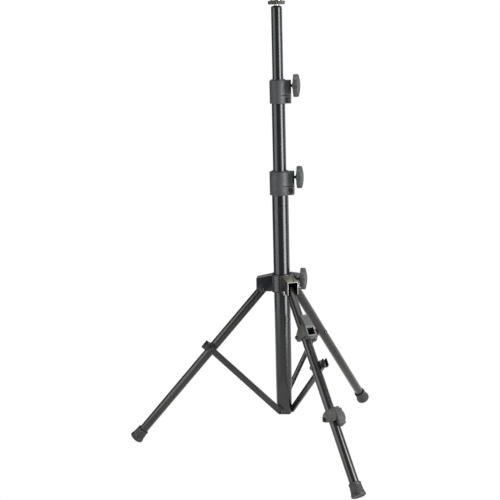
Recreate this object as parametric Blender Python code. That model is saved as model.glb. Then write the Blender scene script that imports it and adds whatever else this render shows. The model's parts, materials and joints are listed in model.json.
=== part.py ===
"""Three-section telescopic tripod stand for a PA loudspeaker or a lamp head.

Z is up and z = 0 is the floor.  The origin is below the middle of the outer box, so the mast
stands at x = MAST_X.  The clamp knobs of the mast point along +X.  The three legs stand at 180,
60 and -60 degrees round the mast.  Each leg is drawn in a frame of its own: +X runs outward from
the mast, +Y is the strut's side of the leg and +Z is up.
"""
import math

import bmesh
import bpy
from mathutils import Matrix, Vector

MM = 0.001
GAP = 0.3 * MM                      # free space between neighbouring pieces
LOOSE_GAP = 1.2 * MM                # free space round the mast inside the sliding hub

# Place of the mast and of the legs.
MAST_X = 100.0 * MM
LEG_AZIMUTHS = {"left": 180.0, "rear": 60.0, "front": -60.0}
LEG_ANGLE = math.radians(40.33)     # leg from the vertical, stand open
HUB_PIVOT_RADIUS = 51.0 * MM
MAST_PIN_RADIUS = 10.0 * MM         # sideways place of a strut's lower pin
MAST_PIN_Z = 100.0 * MM

# Legs.
LEG_RADIUS = 12.0 * MM
LEG_WALL = 1.5 * MM
LEG_LENGTH = 551.5 * MM             # pivot to the sole of the foot
LEG_TOP = 9.0 * MM                  # tube above its pivot
FOOT_RADIUS = 17.0 * MM             # flat of the sole
FOOT_FLARE = 18.5 * MM
FOOT_LENGTH = 34.0 * MM
STRUT_PIN_DISTANCE = 213.0 * MM     # along the leg, from its pivot

# Struts: shallow channels that lie beside their legs.
STRUT_HALF_WIDTH = 8.25 * MM
STRUT_INNER_Y = 16.0 * MM
STRUT_OUTER_Y = 21.5 * MM
STRUT_WEB = 2.0 * MM
PIN_RADIUS = 3.0 * MM
OPEN_PIVOT_GAP = 1.4 * MM           # lower holes of the rear and front struts
SIDE_PLAY = 0.9 * MM                # struts' lower ends, between the mast's flat and the rivet's head

# Mast tubes: outer radius, wall, bottom and top.
LOWER_RADIUS, LOWER_WALL = 21.0 * MM, 2.0 * MM
LOWER_BOTTOM, LOWER_TOP = 92.0 * MM, 710.7 * MM
MIDDLE_RADIUS, MIDDLE_WALL = 17.0 * MM, 1.5 * MM
MIDDLE_BOTTOM, MIDDLE_TOP = 372.0 * MM, 942.7 * MM
TOP_RADIUS, TOP_WALL = 13.75 * MM, 1.5 * MM
TOP_BOTTOM, TOP_TOP = 620.0 * MM, 1150.0 * MM
FLAT_DISTANCE = STRUT_INNER_Y - SIDE_PLAY  # pressed flats of the lower tube, from the axis
FLAT_TOP, FLAT_END = 162.0 * MM, 180.0 * MM

# Clamp knobs, screws and pads of the mast.
KNOB_RADIUS = 28.8 * MM
KNOB_THICKNESS = 17.0 * MM
KNOB_LOBES = 6
SCREW_RADIUS = 4.0 * MM
PAD_RADIUS = 5.0 * MM
PAD_LENGTH = 6.5 * MM

# Collars: bottom, top, body radius, reach of the boss, heights of the slot and of the screws.
LOWER_COLLAR = dict(bottom=680.0 * MM, top=740.0 * MM, radius=26.5 * MM, reach=36.5 * MM,
                    tube=LOWER_RADIUS, tube_top=LOWER_TOP, inner=MIDDLE_RADIUS,
                    slot=703.0 * MM, cross=692.0 * MM, cross_x=28.5 * MM,
                    knob_z=724.7 * MM, knob_x=43.5 * MM)
UPPER_COLLAR = dict(bottom=913.0 * MM, top=971.5 * MM, radius=21.8 * MM, reach=32.4 * MM,
                    tube=MIDDLE_RADIUS, tube_top=MIDDLE_TOP, inner=TOP_RADIUS,
                    slot=933.6 * MM, cross=922.0 * MM, cross_x=24.4 * MM,
                    knob_z=957.0 * MM, knob_x=38.5 * MM)
SLEEVE_WALL = 2.1 * MM
SLEEVE_LIP = 2.6 * MM

# Sliding hub that carries the legs.
HUB_BOTTOM, HUB_TOP = 427.0 * MM, 470.0 * MM
HUB_BARREL = 27.5 * MM
HUB_REACH = 66.0 * MM               # outer end of an arm
HUB_ARM_OUTER, HUB_ARM_INNER = 15.6 * MM, 12.6 * MM
HUB_SLOT_START = 33.0 * MM
HUB_PLATE = 2.5 * MM
HUB_TOP_DROP = 8.0 * MM             # fall of an arm's top towards its end
HUB_KNOB_Z, HUB_KNOB_X = 458.0 * MM, 48.6 * MM

# Clamp brackets on the front leg: distance of the bolt along the leg.
BRACKETS = {"upper": 118.0 * MM, "lower": 345.0 * MM}
BRACKET_HALF_WIDTH = 14.5 * MM
BRACKET_BOLT_X = -20.0 * MM
BRACKET_KNOB_Y = 28.0 * MM
BRACKET_KNOB_RADIUS = 17.0 * MM

FINE, COARSE = 32, 12               # sides of tubes and of small round pieces
LEG_SIDES = 20                      # sides of the legs and their feet
STAR_SIDES = 36                     # sides of the star knobs, six to a lobe

# Worked out from the values above.
LEG_SIN, LEG_COS = math.sin(LEG_ANGLE), math.cos(LEG_ANGLE)
SOLE_REACH = FOOT_RADIUS * math.cos(math.pi / LEG_SIDES)  # edge of the sole that meets the floor
HUB_PIVOT_Z = LEG_LENGTH * LEG_COS + SOLE_REACH * LEG_SIN
STRUT_RISE = HUB_PIVOT_Z - STRUT_PIN_DISTANCE * LEG_COS - MAST_PIN_Z
STRUT_RUN = HUB_PIVOT_RADIUS + STRUT_PIN_DISTANCE * LEG_SIN - MAST_PIN_RADIUS
STRUT_LENGTH = math.hypot(STRUT_RISE, STRUT_RUN)
STRUT_ANGLE = math.atan2(STRUT_RUN, STRUT_RISE)

MATERIALS = {
    "steel_black": ((0.020, 0.022, 0.024), 0.28, 0.0),
    "hub_paint": ((0.060, 0.060, 0.058), 0.40, 0.0),
    "plastic_grey": ((0.075, 0.077, 0.080), 0.55, 0.0),
    "rubber_black": ((0.025, 0.027, 0.028), 0.75, 0.0),
    "nylon_black": ((0.030, 0.030, 0.032), 0.50, 0.0),
    "zinc_steel": ((0.45, 0.45, 0.43), 0.35, 1.0),
    "brass_pad": ((0.55, 0.42, 0.20), 0.40, 1.0),
}


# ---------------------------------------------------------------- basic shapes

def circle(radius, height, sides=FINE):
    """One ring of points round Z, with a flat facing +X."""
    angles = [2 * math.pi * (i + 0.5) / sides for i in range(sides)]
    return [Vector((radius * math.cos(angle), radius * math.sin(angle), height)) for angle in angles]


def loft(rings, closed=False):
    """Skin over rings of equally many points; the ends are capped unless the rings close up."""
    mesh = bmesh.new()
    layers = [[mesh.verts.new(point) for point in ring] for ring in rings]
    pairs = list(zip(layers, layers[1:]))
    if closed:
        pairs.append((layers[-1], layers[0]))
    for low, high in pairs:
        for i in range(len(low)):
            j = (i + 1) % len(low)
            mesh.faces.new((low[i], low[j], high[j], high[i]))
    if not closed:
        mesh.faces.new(layers[0])
        mesh.faces.new(layers[-1])
    bmesh.ops.recalc_face_normals(mesh, faces=mesh.faces)
    return mesh


def turned(profile, sides=FINE):
    """Solid turned round Z from (radius, height) pairs, bottom to top."""
    return loft([circle(radius, height, sides) for radius, height in profile])


def turned_ring(profile, sides=FINE):
    """Ring turned round Z from a closed loop of (radius, height) pairs."""
    return loft([circle(radius, height, sides) for radius, height in profile], closed=True)


def prism(outline, low, high):
    """Outline in the XY plane, extruded along Z."""
    return loft([[Vector((x, y, height)) for x, y in outline] for height in (low, high)])


def block(low, high):
    """Box between two corners."""
    outline = [(low[0], low[1]), (high[0], low[1]), (high[0], high[1]), (low[0], high[1])]
    return prism(outline, low[2], high[2])


def along_x(mesh):
    """Turn a shape made along Z so that it runs along +X."""
    mesh.transform(Matrix.Rotation(math.radians(90), 4, "Y"))
    return mesh


def along_y(mesh):
    """Turn a shape made along Z so that it runs along +Y."""
    mesh.transform(Matrix.Rotation(math.radians(-90), 4, "X"))
    return mesh


def moved(mesh, x=0.0, y=0.0, z=0.0):
    mesh.transform(Matrix.Translation((x, y, z)))
    return mesh


def rod_y(radius, low, high, x=0.0, z=0.0, sides=COARSE):
    """Round rod along Y."""
    return moved(along_y(turned([(radius, low), (radius, high)], sides)), x=x, z=z)


def rod_x(radius, low, high, z=0.0, sides=COARSE):
    """Round rod along X."""
    return moved(along_x(turned([(radius, low), (radius, high)], sides)), z=z)


def side_profile(points, low, high):
    """Outline in the XZ plane, extruded along Y."""
    return loft([[Vector((x, depth, z)) for x, z in points] for depth in (low, high)])


# ---------------------------------------------------------------- objects

def clear_scene():
    for thing in list(bpy.data.objects):
        bpy.data.objects.remove(thing, do_unlink=True)


def material(name):
    """Principled material of a piece's own slot."""
    colour, roughness, metallic = MATERIALS[name]
    surface = bpy.data.materials.new(name)
    surface.use_nodes = True
    shader = surface.node_tree.nodes["Principled BSDF"]
    shader.inputs["Base Color"].default_value = (*colour, 1.0)
    shader.inputs["Roughness"].default_value = roughness
    shader.inputs["Metallic"].default_value = metallic
    return surface


def empty(name, parent=None, location=(0, 0, 0), rotation=(0, 0, 0)):
    thing = bpy.data.objects.new(name, None)
    bpy.context.scene.collection.objects.link(thing)
    thing.parent = parent
    thing.location = location
    thing.rotation_euler = rotation
    return thing


def piece(name, mesh, finish, parent, location=(0, 0, 0), rotation=(0, 0, 0)):
    """Object from a bmesh, shaded smooth over its round stretches."""
    data = bpy.data.meshes.new(name)
    mesh.to_mesh(data)
    mesh.free()
    data.shade_smooth()
    data.set_sharp_from_angle(angle=math.radians(35))
    data.materials.append(material(finish))
    thing = bpy.data.objects.new(name, data)
    bpy.context.scene.collection.objects.link(thing)
    thing.parent = parent
    thing.location = location
    thing.rotation_euler = rotation
    return thing


def tool(target, mesh, operation):
    """Boolean with a hidden cutter that belongs to its target."""
    name = f"{operation.lower()}_{target.name}_{len(target.modifiers)}"
    data = bpy.data.meshes.new(name)
    mesh.to_mesh(data)
    mesh.free()
    cutter = bpy.data.objects.new(name, data)
    bpy.context.scene.collection.objects.link(cutter)
    cutter.parent = target
    cutter.hide_render = True
    cutter.display_type = "WIRE"
    step = target.modifiers.new(name, "BOOLEAN")
    step.operation = operation
    step.solver = "EXACT"
    step.object = cutter


def cut(target, *meshes):
    for mesh in meshes:
        tool(target, mesh, "DIFFERENCE")


def join(target, *meshes):
    for mesh in meshes:
        tool(target, mesh, "UNION")


# ---------------------------------------------------------------- mast

def flat_distance(height):
    """Distance of the pressed flats from the axis: constant, then easing out to the full round."""
    ease = min(max((height - FLAT_TOP) / (FLAT_END - FLAT_TOP), 0.0), 1.0)
    blend = ease * ease * (3 - 2 * ease)
    return FLAT_DISTANCE + (LOWER_RADIUS + GAP - FLAT_DISTANCE) * blend


def pressed_ring(height, inset=0.0, at=None):
    """Section of the lower tube, round but for a flat on the strut's side of each leg."""
    distance = flat_distance(height if at is None else at) - inset
    radius = LOWER_RADIUS - inset
    corner = math.degrees(math.acos((FLAT_DISTANCE - inset) / radius))
    ring = []
    for azimuth in sorted(LEG_AZIMUTHS.values()):
        for offset in (-corner, -30, -20, -10, 0, 10, 20, 30, corner, 50, 60, 70):
            angle = math.radians(azimuth + 90 + offset)
            reach = min(radius, distance / math.cos(math.radians(offset)))
            if offset > 50:
                reach = radius
            ring.append(Vector((reach * math.cos(angle), reach * math.sin(angle), height)))
    return ring


def lower_tube(parent):
    steps = 4
    heights = [LOWER_BOTTOM]
    heights += [FLAT_TOP + (FLAT_END - FLAT_TOP) * i / steps for i in range(steps + 1)]
    heights.append(LOWER_TOP)
    outside = [pressed_ring(height) for height in heights]
    inside = [pressed_ring(height, LOWER_WALL) for height in reversed(heights)]
    tube = piece("mast_lower_tube", loft(outside + inside, closed=True), "steel_black", parent)
    for azimuth in LEG_AZIMUTHS.values():
        hole = rod_y(PIN_RADIUS + GAP, 10 * MM, 24 * MM, MAST_PIN_RADIUS, MAST_PIN_Z)
        hole.transform(Matrix.Rotation(math.radians(azimuth), 4, "Z"))
        cut(tube, hole)


def bottom_cap(parent):
    """Plug that follows the three-sided bottom of the tube."""
    top = LOWER_BOTTOM - GAP
    inset = LOWER_WALL + GAP
    rings = [pressed_ring(top - 3.0 * MM, 1.5 * MM, at=top), pressed_ring(top - 1.7 * MM, at=top),
             pressed_ring(top), pressed_ring(top, inset), pressed_ring(top + 2.8 * MM, inset)]
    piece("mast_bottom_cap", loft(rings), "nylon_black", parent)


def mast_rivet(side, parent):
    """Pin of a strut's lower end, through the flat of the lower tube."""
    inside = FLAT_DISTANCE - LOWER_WALL - 2 * GAP
    outside = STRUT_OUTER_Y + SIDE_PLAY
    profile = [(3.5 * MM, inside - 2.2 * MM), (3.5 * MM, inside), (PIN_RADIUS, inside),
               (PIN_RADIUS, outside), (6 * MM, outside), (6 * MM, outside + 1.5 * MM),
               (4.2 * MM, outside + 2.5 * MM)]
    piece(f"strut_rivet_{side}", along_y(turned(profile, COARSE)), "zinc_steel", parent,
          (MAST_PIN_RADIUS, 0, MAST_PIN_Z))


def straight_tube(name, radius, wall, bottom, top, parent):
    profile = [(radius, bottom), (radius, top), (radius - wall, top), (radius - wall, bottom)]
    piece(name, turned_ring(profile), "steel_black", parent)


def guide_bush(name, tube_radius, bore_radius, bottom, parent):
    """Ring on the foot of a sliding tube, with a lip under the tube's end."""
    outer = bore_radius - GAP
    inner = tube_radius + GAP
    lip = tube_radius - 2.5 * MM
    profile = [(outer, bottom - 4 * MM), (outer, bottom + 30 * MM), (inner, bottom + 30 * MM),
               (inner, bottom - GAP), (lip, bottom - GAP), (lip, bottom - 4 * MM)]
    piece(name, turned_ring(profile), "nylon_black", parent)


def collar_outline(radius, reach, half_width, corner):
    """Round collar with a boss along +X, whose corners are arcs."""
    start = math.asin(half_width / radius)
    steps = 28
    outline = []
    for i in range(steps + 1):
        angle = start + (2 * math.pi - 2 * start) * i / steps
        outline.append((radius * math.cos(angle), radius * math.sin(angle)))
    centre_x = reach - corner
    centre_y = half_width - corner
    for i in range(5):
        angle = math.radians(-90 + 22.5 * i)
        outline.append((centre_x + corner * math.cos(angle), -centre_y + corner * math.sin(angle)))
    for i in range(5):
        angle = math.radians(22.5 * i)
        outline.append((centre_x + corner * math.cos(angle), centre_y + corner * math.sin(angle)))
    return outline


def collar(name, size, parent):
    """Clamp collar: its foot is split and pinched on the tube by a cross screw."""
    half_width = 0.52 * size["radius"]
    outline = collar_outline(size["radius"], size["reach"], half_width, 3 * MM)
    body = piece(name, prism(outline, size["bottom"], size["top"]), "plastic_grey", parent)
    shoulder = size["tube_top"] + GAP
    lower_bore = size["tube"] + GAP
    upper_bore = size["inner"] + GAP + SLEEVE_WALL + GAP
    beyond = 5 * MM
    cut(body,
        turned([(lower_bore, size["bottom"] - beyond), (lower_bore, shoulder),
                (upper_bore, shoulder), (upper_bore, size["top"] + beyond)]),
        block((0.65 * size["radius"], -size["radius"], size["slot"] - 1.0 * MM),
              (size["reach"] + beyond, size["radius"], size["slot"] + 1.0 * MM)),
        block((0.65 * size["radius"], -1.25 * MM, size["bottom"] - beyond),
              (size["reach"] + beyond, 1.25 * MM, size["slot"])),
        rod_y(2.5 * MM + GAP, -size["radius"], size["radius"], size["cross_x"], size["cross"]),
        rod_y(4.5 * MM + GAP, -size["radius"], -half_width + 4 * MM, size["cross_x"], size["cross"]),
        rod_x(PAD_RADIUS + GAP, 0.5 * size["radius"], pad_seat(size["inner"]), size["knob_z"]),
        rod_x(SCREW_RADIUS + GAP, 0.5 * size["radius"], size["reach"] + beyond, size["knob_z"]))


def pad_seat(tube_radius, gap=GAP):
    """Bottom of the pad's bore: the pad, its travel and a little more."""
    return tube_radius + gap + PAD_LENGTH + 3.2 * MM


def collar_sleeve(name, size, parent):
    """Nylon guide in the upper bore, with a lip on the collar's top and a window for the pad."""
    inner = size["inner"] + GAP
    outer = inner + SLEEVE_WALL
    bottom = size["tube_top"] + 2 * GAP
    seat = size["top"] + GAP
    profile = [(outer, bottom), (outer, seat), (outer + SLEEVE_LIP, seat),
               (outer + SLEEVE_LIP, seat + 1.2 * MM), (outer + 1.2 * MM, seat + 2.0 * MM),
               (inner, seat + 2.0 * MM), (inner, bottom)]
    sleeve = piece(name, turned_ring(profile), "nylon_black", parent)
    cut(sleeve, rod_x(PAD_RADIUS + 2 * GAP, 0.5 * inner, outer + 5 * MM, size["knob_z"]))


def cross_screw(name, size, parent):
    """Socket screw that pinches the collar's split foot."""
    half_width = 0.52 * size["radius"]
    head = -half_width + 4 * MM - GAP
    profile = [(4.5 * MM, head - 3.2 * MM), (4.5 * MM, head),
               (2.5 * MM, head), (2.5 * MM, half_width - 1 * MM)]
    screw = piece(name, along_y(turned(profile, COARSE)), "zinc_steel", parent,
                  (size["cross_x"], 0, size["cross"]))
    cut(screw, rod_y(2.0 * MM, head - 5 * MM, head - 1.2 * MM, sides=6))


def clamp_set(prefix, tube_radius, knob_x, knob_z, parent, gap=GAP):
    """Pad, screw and star knob of one clamp, along +X."""
    face = tube_radius + gap
    back = face + PAD_LENGTH
    place = (0, 0, knob_z)
    piece(f"{prefix}_clamp_pad", along_x(turned([(PAD_RADIUS, face), (PAD_RADIUS, back)], COARSE)),
          "brass_pad", parent, place)
    tip = back + GAP
    end = knob_x + 12 * MM
    screw = [(3 * MM, tip), (SCREW_RADIUS, tip + 1 * MM), (SCREW_RADIUS, end)]
    piece(f"{prefix}_clamp_screw", along_x(turned(screw, COARSE)), "zinc_steel", parent, place)
    star_knob(f"{prefix}_clamp_knob", knob_x, end, parent, place)


def star_ring(radius, depth, height):
    """Ring with KNOB_LOBES finger lobes."""
    ring = []
    for i in range(STAR_SIDES):
        angle = 2 * math.pi * (i + 0.5) / STAR_SIDES
        reach = radius - depth * (0.5 - 0.5 * math.cos(KNOB_LOBES * angle))
        ring.append(Vector((reach * math.cos(angle), reach * math.sin(angle), height)))
    return ring


def star_knob(name, start, screw_end, parent, place):
    end = start + KNOB_THICKNESS
    rings = [circle(8 * MM, start - 2.5 * MM, STAR_SIDES), circle(9 * MM, start, STAR_SIDES),
             star_ring(KNOB_RADIUS - 4 * MM, 1.5 * MM, start),
             star_ring(KNOB_RADIUS, 3 * MM, start + 4 * MM),
             star_ring(KNOB_RADIUS, 3 * MM, end - 5 * MM),
             star_ring(KNOB_RADIUS - 4 * MM, 2 * MM, end)]
    knob = piece(name, along_x(loft(rings)), "plastic_grey", parent, place)
    cut(knob, rod_x(SCREW_RADIUS + GAP, start - 10 * MM, screw_end + GAP))


def mast_top(parent):
    """Plug, threaded stud, lock disc and adapter boss at the top of the mast."""
    rim = TOP_TOP + GAP
    bore = TOP_RADIUS - TOP_WALL - GAP
    stud = 5.0 * MM
    plug = [(bore, rim - 18 * MM), (bore, rim), (TOP_RADIUS, rim), (TOP_RADIUS, rim + 2.2 * MM),
            (7.5 * MM, rim + 5.2 * MM), (stud + GAP, rim + 5.2 * MM), (stud + GAP, rim - 18 * MM)]
    piece("top_end_plug", turned_ring(plug), "nylon_black", parent)
    piece("top_stud", turned([(stud, rim - 16 * MM), (stud, 1198 * MM), (4.2 * MM, 1199 * MM)]),
          "zinc_steel", parent)
    disc = [(20 * MM, 1158 * MM), (21.2 * MM, 1159.2 * MM), (21.2 * MM, 1165.8 * MM),
            (20 * MM, 1167 * MM), (stud + GAP, 1167 * MM), (stud + GAP, 1158 * MM)]
    piece("top_lock_disc", turned_ring(disc), "nylon_black", parent)
    boss = [(14.5 * MM, 1167.3 * MM), (14.5 * MM, 1176.0 * MM), (12 * MM, 1178 * MM),
            (stud + GAP, 1178 * MM), (stud + GAP, 1167.3 * MM)]
    piece("top_adapter_boss", turned_ring(boss), "zinc_steel", parent)


# ---------------------------------------------------------------- hub

def hub_arm_top(x):
    """Height of an arm's top, level over the barrel and falling towards the arm's end."""
    return HUB_TOP - HUB_TOP_DROP * max(x - HUB_BARREL, 0.0) / (HUB_REACH - HUB_BARREL)


def hub_arm(azimuth, half_width, start, reach, bottom, drop):
    """Box arm, or the hollow in it when its walls are moved in by bottom and drop."""
    bend = max(start, HUB_BARREL)
    points = [(start, bottom), (reach, bottom),
              (reach, hub_arm_top(reach) - drop), (bend, hub_arm_top(bend) - drop)]
    if start < bend:
        points.append((start, HUB_TOP - drop))
    arm = side_profile(points, -half_width, half_width)
    arm.transform(Matrix.Rotation(math.radians(azimuth), 4, "Z"))
    return arm


def hub(parent):
    barrel = turned([(HUB_BARREL, HUB_BOTTOM), (HUB_BARREL, HUB_TOP)])
    body = piece("hub_bracket", barrel, "hub_paint", parent)
    join(body, block((10 * MM, -9 * MM, HUB_BOTTOM + 2 * MM), (38 * MM, 9 * MM, HUB_TOP - 2 * MM)))
    for azimuth in LEG_AZIMUTHS.values():
        join(body, hub_arm(azimuth, HUB_ARM_OUTER, 8 * MM, HUB_REACH, HUB_BOTTOM, 0))
    for azimuth in LEG_AZIMUTHS.values():
        hole = rod_y(PIN_RADIUS + GAP, -20 * MM, 20 * MM, HUB_PIVOT_RADIUS, HUB_PIVOT_Z)
        hole.transform(Matrix.Rotation(math.radians(azimuth), 4, "Z"))
        hollow = hub_arm(azimuth, HUB_ARM_INNER, HUB_SLOT_START, HUB_REACH + 8 * MM,
                         HUB_BOTTOM - 5 * MM, HUB_PLATE)
        cut(body, hollow, hole)
    bore = LOWER_RADIUS + LOOSE_GAP + SLEEVE_WALL + GAP
    cut(body,
        turned([(bore, HUB_BOTTOM - 5 * MM), (bore, HUB_TOP + 5 * MM)]),
        rod_x(PAD_RADIUS + GAP, 15 * MM, pad_seat(LOWER_RADIUS, LOOSE_GAP), HUB_KNOB_Z),
        rod_x(SCREW_RADIUS + GAP, 15 * MM, 45 * MM, HUB_KNOB_Z))


def hub_sleeve(parent):
    inner = LOWER_RADIUS + LOOSE_GAP
    outer = inner + SLEEVE_WALL
    lip = outer + 2.4 * MM
    low, high = HUB_BOTTOM - GAP, HUB_TOP + GAP
    profile = [(lip, low - 2.2 * MM), (lip, low), (outer, low), (outer, high), (lip, high),
               (lip - 1 * MM, high + 2.4 * MM), (inner, high + 2.4 * MM), (inner, low - 2.2 * MM)]
    sleeve = piece("hub_sleeve", turned_ring(profile), "nylon_black", parent)
    cut(sleeve, rod_x(PAD_RADIUS + 2 * GAP, 15 * MM, 30 * MM, HUB_KNOB_Z))


def leg_pivot(side, parent):
    """Bolt through an arm and its leg, head on the strut's side, and its nut."""
    seat = HUB_ARM_OUTER + GAP
    place = (HUB_PIVOT_RADIUS, 0, HUB_PIVOT_Z)
    bolt = [(PIN_RADIUS, -seat - 6.5 * MM), (PIN_RADIUS, seat), (6 * MM, seat),
            (6 * MM, seat + 2 * MM), (4 * MM, seat + 3.6 * MM)]
    piece(f"leg_pivot_bolt_{side}", along_y(turned(bolt, COARSE)), "zinc_steel", parent, place)
    hole = (PIN_RADIUS + GAP) / math.cos(math.radians(30))
    rings = [circle(5.8 * MM, -seat - 5 * MM, 6), circle(5.8 * MM, -seat, 6),
             circle(hole, -seat, 6), circle(hole, -seat - 5 * MM, 6)]
    piece(f"leg_pivot_nut_{side}", along_y(loft(rings, closed=True)), "zinc_steel", parent, place)


# ---------------------------------------------------------------- legs and struts

def leg(side, parent):
    """Leg tube and its foot, hanging from the pivot at the origin of their own frame."""
    place = (HUB_PIVOT_RADIUS, 0, HUB_PIVOT_Z)
    tilt = (0, -LEG_ANGLE, 0)
    sole = -LEG_LENGTH
    end = sole + 4 * MM
    profile = [(LEG_RADIUS, end), (LEG_RADIUS, LEG_TOP),
               (LEG_RADIUS - LEG_WALL, LEG_TOP), (LEG_RADIUS - LEG_WALL, end)]
    tube = piece(f"leg_tube_{side}", turned_ring(profile, LEG_SIDES), "steel_black", parent, place, tilt)
    for height in (0, -STRUT_PIN_DISTANCE):
        cut(tube, rod_y(PIN_RADIUS + GAP, -LEG_RADIUS - 3 * MM, LEG_RADIUS + 3 * MM, z=height))
    bore = LEG_RADIUS + GAP
    top = sole + FOOT_LENGTH
    foot = [(FOOT_RADIUS, sole), (FOOT_FLARE, sole + 1.5 * MM), (FOOT_FLARE, sole + 7 * MM),
            (15.2 * MM, top - 6 * MM), (14.5 * MM, top), (bore, top), (bore, end - GAP)]
    shell = [circle(radius, height, LEG_SIDES) for radius, height in foot]
    piece(f"leg_foot_{side}", loft(shell), "rubber_black", parent, place, tilt)


def strut_clip(side, parent):
    """Saddle on the leg's side with a U of two prongs that point outward."""
    half = 10.5 * MM
    inner, outer = STRUT_INNER_Y - GAP, STRUT_OUTER_Y + 2 * GAP
    outline = [(-9 * MM, 7 * MM), (15.5 * MM, 7 * MM), (15.5 * MM, inner - 3 * MM),
               (26 * MM, inner - 3 * MM), (26 * MM, inner), (15.5 * MM, inner), (15.5 * MM, outer),
               (26 * MM, outer), (26 * MM, outer + 2.3 * MM), (13 * MM, outer + 2.3 * MM),
               (13 * MM, inner), (-9 * MM, inner)]
    clip = piece(f"strut_clip_{side}",
                 prism(outline, -STRUT_PIN_DISTANCE - half, -STRUT_PIN_DISTANCE + half), "steel_black",
                 parent, (HUB_PIVOT_RADIUS, 0, HUB_PIVOT_Z), (0, -LEG_ANGLE, 0))
    seat = LEG_RADIUS + GAP
    cut(clip,
        turned([(seat, -STRUT_PIN_DISTANCE - 2 * half), (seat, -STRUT_PIN_DISTANCE + 2 * half)]),
        rod_y(PIN_RADIUS + GAP, 5 * MM, 20 * MM, z=-STRUT_PIN_DISTANCE))


def strut_pin(side, parent):
    """Pin through the leg, its clip and the strut's upper end."""
    near, far = -LEG_RADIUS - GAP, STRUT_OUTER_Y + GAP
    profile = [(4 * MM, near - 3.5 * MM), (5.5 * MM, near - 1.5 * MM), (5.5 * MM, near),
               (PIN_RADIUS, near), (PIN_RADIUS, far), (5.5 * MM, far), (5.5 * MM, far + 2 * MM),
               (4 * MM, far + 3.2 * MM)]
    piece(f"strut_pin_{side}", along_y(turned(profile, COARSE)), "zinc_steel", parent,
          (HUB_PIVOT_RADIUS + STRUT_PIN_DISTANCE * LEG_SIN, 0,
           HUB_PIVOT_Z - STRUT_PIN_DISTANCE * LEG_COS),
          (0, -LEG_ANGLE, 0))


def stadium(half_width, low, high, steps=8):
    """Slot outline in the XZ plane, with half-round ends."""
    points = []
    for centre, start in ((high, 0), (low, 180)):
        for i in range(steps + 1):
            angle = math.radians(start + 180 * i / steps)
            points.append((half_width * math.cos(angle), centre + half_width * math.sin(angle)))
    return points


def strut(side, parent):
    """Shallow channel, open towards the leg, solid round its two pins."""
    lower_gap = GAP if side == "left" else OPEN_PIVOT_GAP
    bar = piece(f"strut_{side}",
                side_profile(stadium(STRUT_HALF_WIDTH, 0, STRUT_LENGTH), STRUT_INNER_Y, STRUT_OUTER_Y),
                "steel_black", parent, (MAST_PIN_RADIUS, 0, MAST_PIN_Z), (0, STRUT_ANGLE, 0))
    flange = STRUT_HALF_WIDTH - STRUT_WEB
    hollow = stadium(flange, 18 * MM, STRUT_LENGTH - 18 * MM)
    cut(bar,
        side_profile(hollow, STRUT_INNER_Y - 5 * MM, STRUT_OUTER_Y - STRUT_WEB),
        rod_y(PIN_RADIUS + lower_gap, STRUT_INNER_Y - 5 * MM, STRUT_OUTER_Y + 5 * MM),
        rod_y(PIN_RADIUS + GAP, STRUT_INNER_Y - 5 * MM, STRUT_OUTER_Y + 5 * MM, z=STRUT_LENGTH))


# ---------------------------------------------------------------- clamp brackets of the front leg

def bracket_outline(flip):
    """Side view of a bracket: a hood over the leg and lugs under it, drawn along the leg."""
    points = [(8, 40), (22, 39), (30, 10), (21, -10), (8, -14), (-14, -15), (-26, -9), (-27, 7),
              (-14, 20), (2, 26), (8, 30)]
    return [(x * MM, flip * z * MM) for x, z in points]


def ribbed_ring(radius, height):
    """Ring of a bracket's knob, with a rib at every other corner."""
    ring = []
    for i in range(2 * COARSE):
        angle = math.pi * i / COARSE
        reach = radius - (1.0 * MM if i % 2 else 0.0)
        ring.append(Vector((reach * math.cos(angle), reach * math.sin(angle), height)))
    return ring


def ribbed_knob(name, parent, place, tilt):
    low = BRACKET_KNOB_Y
    rings = [ribbed_ring(BRACKET_KNOB_RADIUS - 1.5 * MM, low),
             ribbed_ring(BRACKET_KNOB_RADIUS, low + 2 * MM),
             ribbed_ring(BRACKET_KNOB_RADIUS, low + 8 * MM),
             ribbed_ring(BRACKET_KNOB_RADIUS - 2 * MM, low + 10 * MM)]
    knob = piece(name, along_y(loft(rings)), "plastic_grey", parent, place, tilt)
    cut(knob, rod_y(PIN_RADIUS + GAP, low - 5 * MM, low + 7 * MM + GAP))


def clamp_bracket(position, parent):
    """Hooded clamp round the front leg, pinched by a bolt with a ribbed knob."""
    flip = 1 if position == "upper" else -1
    along = BRACKETS[position]
    centre = (HUB_PIVOT_RADIUS + along * LEG_SIN, 0, HUB_PIVOT_Z - along * LEG_COS)
    tilt = (0, -LEG_ANGLE, 0)
    name = f"leg_bracket_{position}"
    body = piece(name, side_profile(bracket_outline(flip), -BRACKET_HALF_WIDTH, BRACKET_HALF_WIDTH),
                 "plastic_grey", parent, centre, tilt)
    seat = LEG_RADIUS + GAP
    cut(body,
        turned([(seat, -60 * MM), (seat, 60 * MM)]),
        block((-40 * MM, -9 * MM, -60 * MM), (0, 9 * MM, 60 * MM)),
        rod_y(PIN_RADIUS + GAP, -20 * MM, 20 * MM, x=BRACKET_BOLT_X))
    if position == "upper":
        cut(body, block((14.5 * MM, -8.5 * MM, -7 * MM), (40 * MM, 8.5 * MM, 9 * MM)))
    bolt_seat = -BRACKET_HALF_WIDTH - GAP
    bolt = [(5 * MM, bolt_seat - 3.5 * MM), (5 * MM, bolt_seat), (PIN_RADIUS, bolt_seat),
            (PIN_RADIUS, BRACKET_KNOB_Y + 7 * MM)]
    bolt_centre = (centre[0] + BRACKET_BOLT_X * LEG_COS, 0, centre[2] + BRACKET_BOLT_X * LEG_SIN)
    piece(f"{name}_bolt", along_y(turned(bolt, COARSE)), "zinc_steel", parent, bolt_centre, tilt)
    ribbed_knob(f"{name}_knob", parent, bolt_centre, tilt)


# ---------------------------------------------------------------- the stand

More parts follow.
